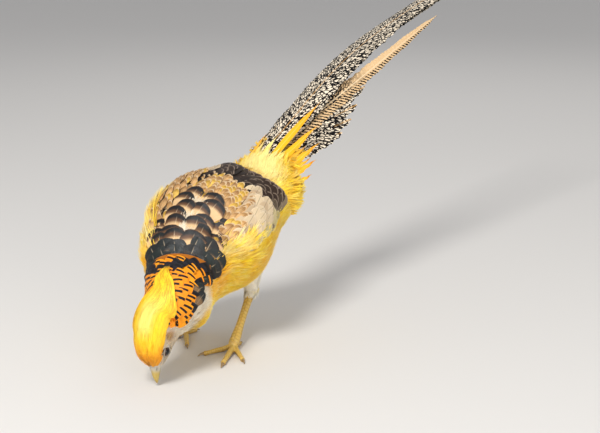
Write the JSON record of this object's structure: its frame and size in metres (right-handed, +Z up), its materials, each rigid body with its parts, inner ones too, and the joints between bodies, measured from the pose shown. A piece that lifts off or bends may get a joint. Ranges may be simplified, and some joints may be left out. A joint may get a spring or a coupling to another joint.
{
  "type": "golden pheasant",
  "caption": "Life-size cock golden pheasant of the yellow form, standing with lowered head and its long tail raised behind.",
  "frame": {"origin": "on the floor, under the middle of the bird's bounding box", "axes": "+Z up, -Y ahead of the bird, +X to the bird's left"},
  "size_m": [0.167, 0.818, 0.4001],
  "materials": {
    "plumage_gold": "soft golden-yellow feathers",
    "face": "short cream feathers",
    "crest": "silky golden strands",
    "cape": "orange feathers with black bars",
    "mantle": "dark scale-like feathers with brown bases",
    "wing": "tan coverts and dark brown quills",
    "tail": "cream vanes with fine black netting",
    "boot": "short creamy white feathers",
    "shank": "yellow scaly skin",
    "claw": "horn",
    "bill": "pale yellow horn",
    "eye": "wet dark brown"
  },
  "bodies": {
    "root": {"trunk": "plumage_gold", "rump": "plumage_gold", "neck": "face", "head": "face", "eye_left": "eye", "eye_right": "eye", "bill_upper": "bill", "bill_lower": "bill", "cape": "cape", "crest": "crest", "mantle": "mantle", "wing_left": "wing", "wing_right": "wing", "tail_1_left": "tail", "tail_1_right": "tail", "tail_2_left": "tail", "tail_2_right": "tail", "tail_3_left": "tail", "tail_3_right": "tail", "tail_4_left": "tail", "tail_4_right": "tail", "tail_5_left": "tail", "tail_5_right": "tail", "tail_6_left": "tail", "tail_6_right": "tail", "tail_7_left": "tail", "tail_7_right": "tail", "thigh_left": "boot", "thigh_right": "boot", "shank_left": "shank", "shank_right": "shank", "foot_left": "shank", "foot_right": "shank", "claw_inner_left": "claw", "claw_inner_right": "claw", "claw_middle_left": "claw", "claw_middle_right": "claw", "claw_outer_left": "claw", "claw_outer_right": "claw", "claw_hind_left": "claw", "claw_hind_right": "claw"}
  },
  "joints": []
}
